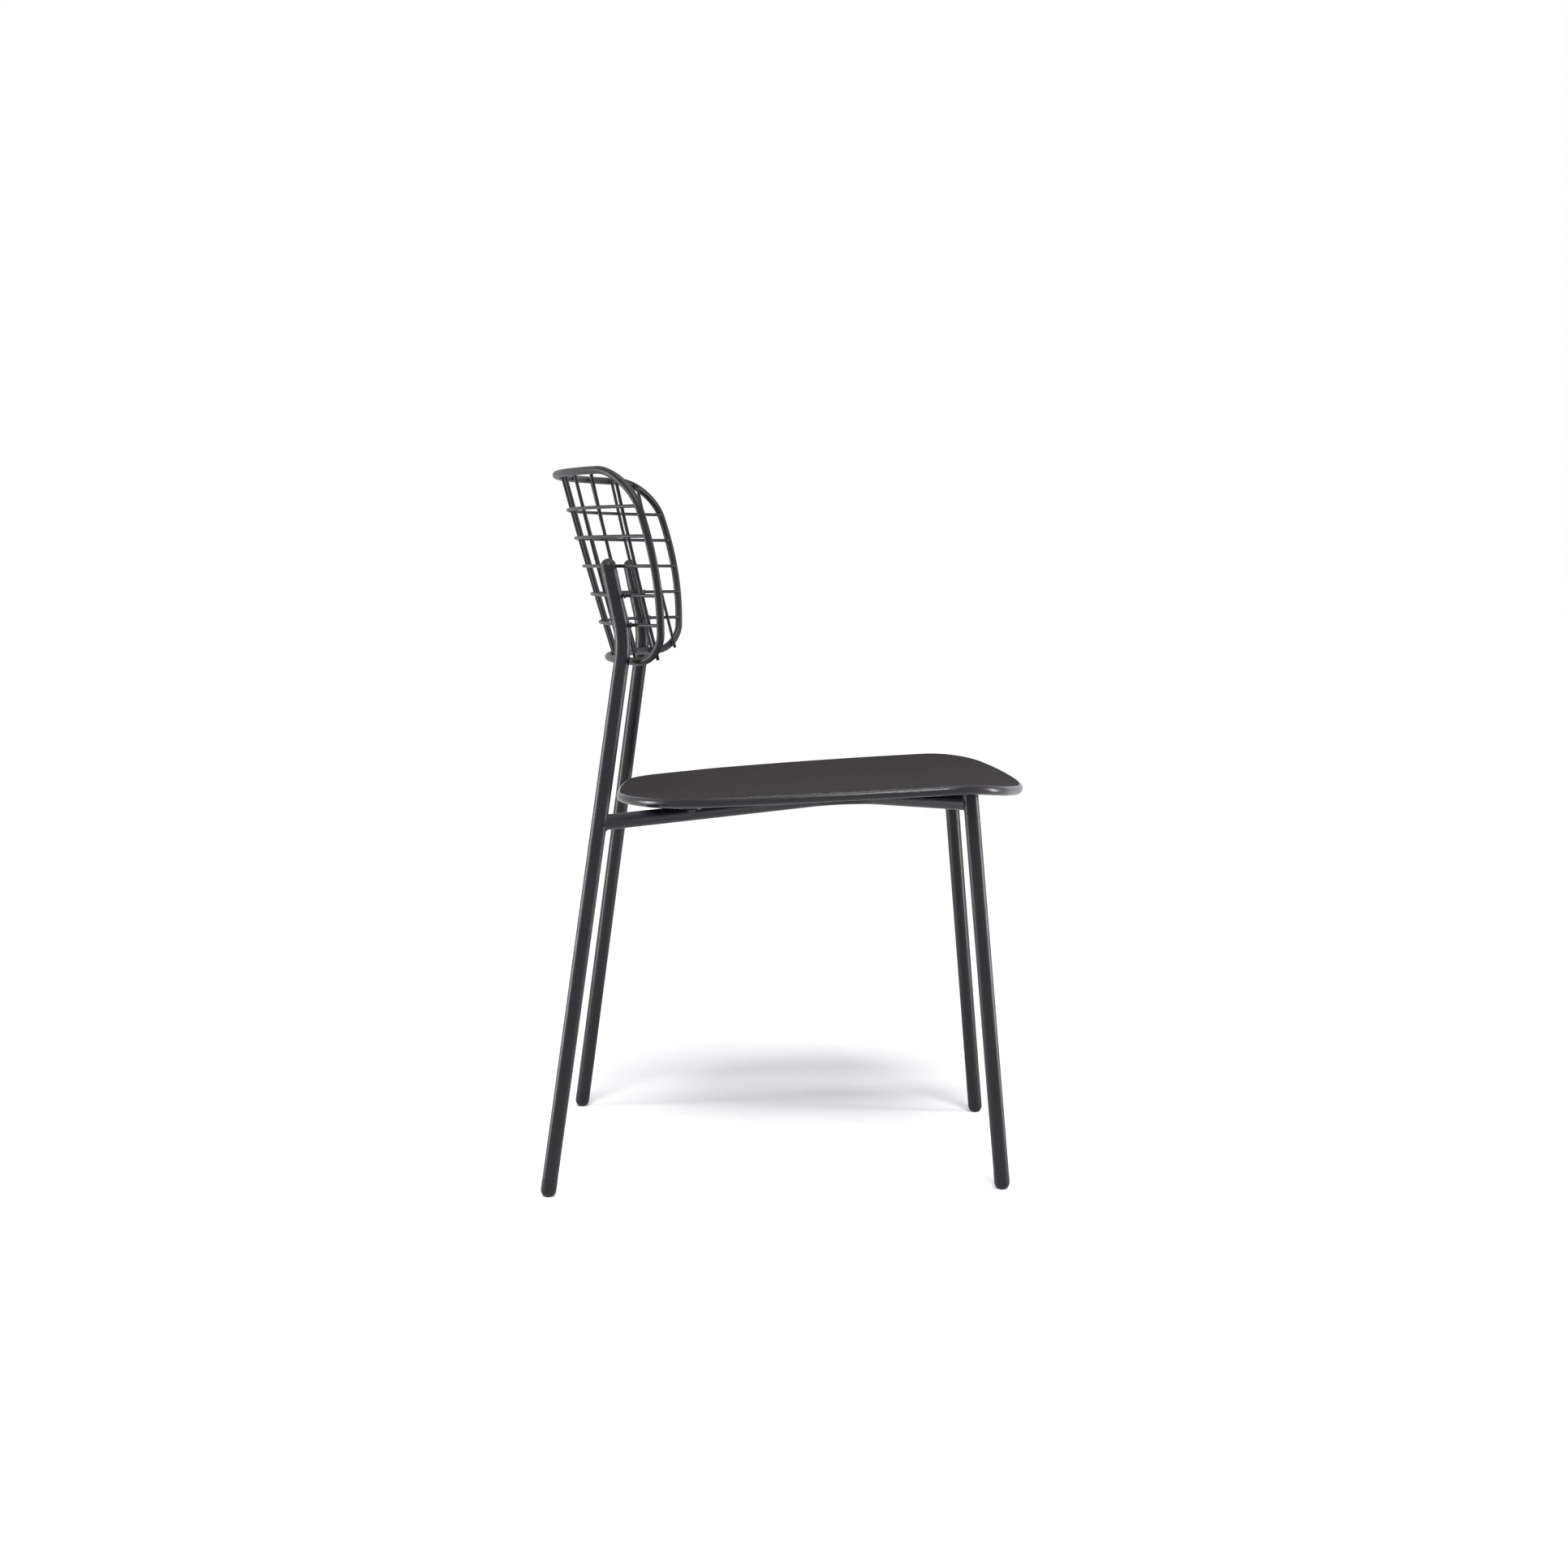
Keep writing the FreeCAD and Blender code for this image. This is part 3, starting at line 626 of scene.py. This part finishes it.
@dataclass
class TubeFrame:
    """Legs, rails, mounting plates and the seams between them."""

    nodes: tuple[str, ...] = ("rear_leg_left", "rear_leg_right", "front_leg_left",
                              "front_leg_right", "seat_rail", "seat_mount_plate")
    tube_radius: float = 9 * MM
    seam_radius: float = 1.4 * MM
    seam_points: int = 36
    # Levels along Y at which a rail's straight run is measured, the nearer to the leg first.
    rear_run: Pair = (0.185, 0.150)
    front_run: Pair = (-0.185, -0.150)
    meeting_y: float = -62.4 * MM
    meeting_half: float = 10 * MM
    meeting_rise: float = 4.8 * MM
    meeting_radius: float = 2.2 * MM
    meeting_points: int = 9
    plate_half: float = 13 * MM
    rear_plate_y: float = 0.126
    front_plate_y: float = -0.159
    plate_seam_angle: float = 32.0
    plate_seam_points: int = 8

    def rail_axis(self, side: Side, levels: Pair) -> tuple[Vector, Vector]:
        """Point and direction of a rail's straight run.

        Args:
            side: The rail's side.
            levels: Two places along Y, the nearer to the leg first.

        Returns:
            A point of the axis and the direction towards the leg.
        """
        near, far = (cut_centre(f"seat_rail_{side.value}", Y_AXIS * level, Y_AXIS)
                     for level in levels)
        return near, (near - far).normalized()

    def leg_axis(self, node: str, height: float) -> tuple[Vector, Vector]:
        """Point and direction of a leg near a height.

        Args:
            node: The leg's node.
            height: The height.

        Returns:
            A point of the axis and its direction, upwards.
        """
        low, high = (cut_centre(node, Z_AXIS * (height + shift), Z_AXIS)
                     for shift in (-self.tube_radius, self.tube_radius))
        return low, (high - low).normalized()

    def cope_seam(self, side: Side, end: End, levels: Pair) -> Seam:
        """Seam round the end of a rail that is shaped to the leg.

        Args:
            side: The rail's side.
            end: The end at which the leg stands.
            levels: Two places along Y on the rail's run to that leg.

        Returns:
            The closed seam, where lines along the rail's wall meet the leg's wall.
        """
        rail, ahead = self.rail_axis(side, levels)
        post, upward = self.leg_axis(f"{end.value}_leg_{side.value}", rail.z)
        across = ahead.orthogonal().normalized()
        above = ahead.cross(across)
        crossing = ahead - upward * ahead.dot(upward)
        slant = crossing.dot(crossing)
        points = []
        for turn in turns(self.seam_points):
            start = rail + (across * math.cos(turn) + above * math.sin(turn)) * self.tube_radius
            offset = start - post
            offset -= upward * offset.dot(upward)
            lead = crossing.dot(offset)
            inside = lead ** 2 - slant * (offset.dot(offset) - self.tube_radius ** 2)
            points.append(start - ahead * ((lead + math.sqrt(max(inside, 0.0))) / slant))
        return Seam(points, self.seam_radius)

    def meeting_seam(self) -> Seam:
        """Seams over and under the place where the two rails touch.

        Returns:
            Both runs as one seam.
        """
        bend = cut_centre("seat_rail_left", Y_AXIS * self.meeting_y, Y_AXIS)
        points = [Vector((0, self.meeting_y + share * self.meeting_half, bend.z + rise))
                  for share in shares(self.meeting_points)
                  for rise in (-self.meeting_rise, self.meeting_rise)]
        return Seam(points, self.meeting_radius)

    def plate_seams(self, side: Side, level: float, levels: Pair) -> list[Bead]:
        """Beads along the two edges where a mounting plate crosses its rail.

        Args:
            side: The rail's side.
            level: The plate's place along Y.
            levels: Two places along Y on the rail's run under that plate.

        Returns:
            The beads of both edges.
        """
        point, ahead = self.rail_axis(side, levels)
        middle = point + ahead * ((level - point.y) / ahead.y)
        across = Vector((ahead.y, -ahead.x, 0)).normalized()
        above = across.cross(ahead)
        above = above if above.z > 0 else -above
        points = []
        for edge in (-self.plate_half, self.plate_half):
            for share in shares(self.plate_seam_points):
                turn = math.radians(self.plate_seam_angle) * share
                arm = above * math.cos(turn) + across * math.sin(turn)
                points.append(middle + ahead * edge + arm * self.tube_radius)
        return Seam(points, self.seam_radius).beads()

    def build(self, coat: bpy.types.Material,
              weld: bpy.types.Material) -> list[bpy.types.Object]:
        """Dresses the tubes and plates and adds the seams.

        Args:
            coat: The tubes' finish.
            weld: The finish over the welds.

        Returns:
            The added pieces.
        """
        for node in solids(*self.nodes):
            dress(node, coat)
        copes = []
        plates = []
        for side in Side:
            copes += self.cope_seam(side, End.REAR, self.rear_run).beads()
            copes += self.cope_seam(side, End.FRONT, self.front_run).beads()
            plates += self.plate_seams(side, self.rear_plate_y, self.rear_run)
            plates += self.plate_seams(side, self.front_plate_y, self.front_run)
        return [piece_of_beads("rail_weld_seams", copes, weld),
                piece_of_beads("rail_meeting_weld", self.meeting_seam().beads(), weld),
                piece_of_beads("plate_weld_seams", plates, weld)]


@dataclass
class Seat:
    """The formed sheet seat and what holds it."""

    # Height of a face's unit normal above which the face belongs to the level top.
    level_normal: float = 0.965
    bush_radius: float = 7 * MM
    ring_radius: float = 0.9 * MM
    ring_drop: float = 1.2 * MM
    ring_points: int = 30

    def dress_shell(self, top: bpy.types.Material, rim: bpy.types.Material) -> None:
        """Gives the level top one copy of the seat's coat and the rolled rim and underside a darker,
        glossier copy, whose darkness is painted shade.

        Args:
            top: The finish of the top.
            rim: The darker copy of the coat, whose darkness is painted shade, for the rim.
        """
        dress("seat_shell", top)
        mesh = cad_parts["seat_shell"].data
        mesh.materials.append(rim)
        for polygon in mesh.polygons:
            # Faces that turn away from the level top get the darker copy: painted shade.
            polygon.material_index = 0 if polygon.normal.z > self.level_normal else 1

    def bush_ring(self, node: str) -> list[Bead]:
        """Weld round the top of a bush, under the seat sheet.

        Args:
            node: The bush's node.

        Returns:
            The beads of the ring.
        """
        low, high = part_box(node)
        centre = (low + high) / 2
        points = [Vector((centre.x + self.bush_radius * math.cos(turn),
                          centre.y + self.bush_radius * math.sin(turn),
                          high.z - self.ring_drop)) for turn in turns(self.ring_points)]
        return Seam(points, self.ring_radius).beads()

    def build(self, top: bpy.types.Material, rim: bpy.types.Material,
              plate: bpy.types.Material, weld: bpy.types.Material) -> list[bpy.types.Object]:
        """Dresses the seat, its bushes and its screws and adds the bushes' welds.

        Args:
            top: The finish of the seat's top.
            rim: The darker copy of the coat, whose darkness is painted shade, for its rim and for the
                bushes.
            plate: The finish of the screws.
            weld: The finish over the welds.

        Returns:
            The added piece.
        """
        self.dress_shell(top, rim)
        rings = []
        for node in solids("seat_bush"):
            dress(node, rim)
            rings += self.bush_ring(node)
        dress("seat_screws", plate)
        return [piece_of_beads("bush_weld_rings", rings, weld)]


@dataclass
class EndPieces:
    """Foot glides and plugs."""

    plugs: tuple[str, ...] = ("rear_leg_plug", "front_leg_cap")
    glides: tuple[str, ...] = ("foot_glide",)

    def build(self, plug: bpy.types.Material, glide: bpy.types.Material) -> None:
        """Dresses the moulded end pieces.

        Args:
            plug: The finish of the plugs and caps.
            glide: The finish of the glides.
        """
        for node in solids(*self.plugs):
            dress(node, plug)
        for node in solids(*self.glides):
            dress(node, glide)


def add_facing(name: str, data: bpy.types.ID, place: Vector, ahead: Vector) -> bpy.types.Object:
    """Adds a camera or a lamp that faces one way and stands level.

    Args:
        name: The object's name.
        data: The camera or the lamp.
        place: Where it stands.
        ahead: The direction that it faces.

    Returns:
        The new object.
    """
    facing = bpy.data.objects.new(name, data)
    facing.location = place
    facing.rotation_euler = ahead.to_track_quat("-Z", "Y").to_euler()
    bpy.context.scene.collection.objects.link(facing)
    return facing


@dataclass(frozen=True)
class Softbox:
    """A rectangular lamp, with its power in watts and its beam in degrees."""

    name: str
    place: Place
    aim: Place
    size: Pair
    power: float
    beam: float

    def build(self) -> None:
        """Adds the lamp, turned to the point at which it aims."""
        data = bpy.data.lights.new(self.name, "AREA")
        data.shape = "RECTANGLE"
        data.size, data.size_y = self.size
        data.energy = self.power
        data.spread = math.radians(self.beam)
        place = Vector(self.place)
        add_facing(self.name, data, place, Vector(self.aim) - place)


REAR_STRIP = Softbox("strip_rear", place=(-0.05, 1.5, 0.55), aim=(0.0, 0.0, 0.55),
                     size=(0.25, 1.2), power=4.8, beam=70.0)
FRONT_STRIP = replace(REAR_STRIP, name="strip_front", place=(-0.05, -1.5, 0.55))
TOP_BOX = Softbox("top", place=(-0.2, 0.0, 2.1), aim=(0.0, 0.0, 0.45),
                  size=(1.6, 0.3), power=7.0, beam=120.0)


@dataclass
class Studio:
    """Camera, floor and light of a plain white studio, with its angles in degrees."""

    camera_place: Place = (-3.0, 0.0054, 0.7194)
    camera_pitch: float = 5.073
    lens_mm: float = 56.46
    sensor_mm: float = 36.0
    clip_near: float = 0.05
    clip_far: float = 200.0
    floor_half: float = 30.0
    floor_colour: str = "#f3f2f5"
    floor_lift: float = 0.20
    fill_colour: str = "#fafaff"
    fill_strength: float = 0.14
    key_travel: Place = (1.0, 0.08, -1.05)
    key_angle: float = 30.0
    key_strength: float = 3.6
    softboxes: tuple[Softbox, ...] = (REAR_STRIP, FRONT_STRIP, TOP_BOX)

    def add_camera(self) -> None:
        """Adds the photograph's camera, level across and pitched a little down."""
        data = bpy.data.cameras.new("camera")
        data.lens = self.lens_mm
        data.sensor_width = self.sensor_mm
        data.clip_start = self.clip_near
        data.clip_end = self.clip_far
        pitch = math.radians(self.camera_pitch)
        ahead = Vector((math.cos(pitch), 0.0, -math.sin(pitch)))
        camera = add_facing("camera", data, Vector(self.camera_place), ahead)
        bpy.context.scene.camera = camera

    def add_floor(self) -> None:
        """Adds a pale floor that keeps the shadow and runs into the white background."""
        shape = bmesh.new()
        bmesh.ops.create_grid(shape, x_segments=1, y_segments=1, size=self.floor_half)
        mesh = bpy.data.meshes.new("floor")
        shape.to_mesh(mesh)
        shape.free()
        material, tree = new_material("floor_sweep_painted")
        paint = add_node(tree, "ShaderNodeBsdfDiffuse", {"Color": linear(self.floor_colour)})
        lift = add_node(tree, "ShaderNodeEmission",
                        {"Color": WHITE, "Strength": self.floor_lift})
        seen = add_node(tree, "ShaderNodeAddShader",
                        {0: paint.outputs["BSDF"], 1: lift.outputs["Emission"]})
        mixed = add_node(tree, "ShaderNodeMixShader",
                         {"Fac": self.eye_rays(tree), 1: paint.outputs["BSDF"],
                          2: seen.outputs["Shader"]})
        add_node(tree, "ShaderNodeOutputMaterial", {"Surface": mixed.outputs["Shader"]})
        mesh.materials.append(material)
        floor = bpy.data.objects.new("floor", mesh)
        bpy.context.scene.collection.objects.link(floor)

    @staticmethod
    def eye_rays(tree: bpy.types.NodeTree) -> bpy.types.NodeSocket:
        """Adds a factor of 1 for camera, glossy and transmission rays.

        Args:
            tree: The node tree.

        Returns:
            The factor's socket.
        """
        path = add_node(tree, "ShaderNodeLightPath").outputs
        pair = add_node(tree, "ShaderNodeMath",
                        {0: path["Is Camera Ray"], 1: path["Is Glossy Ray"]},
                        operation="MAXIMUM")
        every = add_node(tree, "ShaderNodeMath",
                         {0: pair.outputs["Value"], 1: path["Is Transmission Ray"]},
                         operation="MAXIMUM")
        return every.outputs["Value"]

    def add_world(self) -> None:
        """Adds an even fill light and the white background."""
        world = bpy.data.worlds.new("studio")
        world.use_nodes = True
        tree = world.node_tree
        tree.nodes.clear()
        fill = add_node(tree, "ShaderNodeBackground",
                        {"Color": linear(self.fill_colour), "Strength": self.fill_strength})
        white = add_node(tree, "ShaderNodeBackground", {"Color": WHITE, "Strength": 1.0})
        mixed = add_node(tree, "ShaderNodeMixShader",
                         {"Fac": self.eye_rays(tree), 1: fill.outputs["Background"],
                          2: white.outputs["Background"]})
        add_node(tree, "ShaderNodeOutputWorld", {"Surface": mixed.outputs["Shader"]})
        bpy.context.scene.world = world

    def add_key(self) -> None:
        """Adds a large distant soft light."""
        data = bpy.data.lights.new("key", "SUN")
        data.angle = math.radians(self.key_angle)
        data.energy = self.key_strength
        add_facing("key", data, Vector(), Vector(self.key_travel))

    def build(self) -> None:
        """Builds the whole studio."""
        self.add_camera()
        self.add_floor()
        self.add_world()
        self.add_key()
        for softbox in self.softboxes:
            softbox.build()
        bpy.context.scene.view_settings.view_transform = "Standard"


def main() -> None:
    """Builds the looks of the chair in order and reports each piece."""
    logging.basicConfig(level=logging.INFO, format="%(name)s: %(message)s")
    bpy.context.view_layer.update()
    Studio().build()
    weld = WELD_COAT.build()
    pieces = TubeFrame().build(TUBE_COAT.build(), weld)
    pieces += BackMesh().build(WIRE_COAT.build(), weld)
    pieces += Seat().build(SEAT_COAT.build(), SHADED_RIM_COAT.build(), SCREW_PLATE.build(), weld)
    EndPieces().build(PLUG_POLYMER.build(), GLIDE_POLYMER.build())
    for name, solid in sorted(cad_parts.items()):
        LOG.info("%s: %s", name, solid.data.materials[0].name)
    for piece in pieces:
        LOG.info("%s: added, %d faces", piece.name, len(piece.data.polygons))


if __name__ == "__main__":
    main()
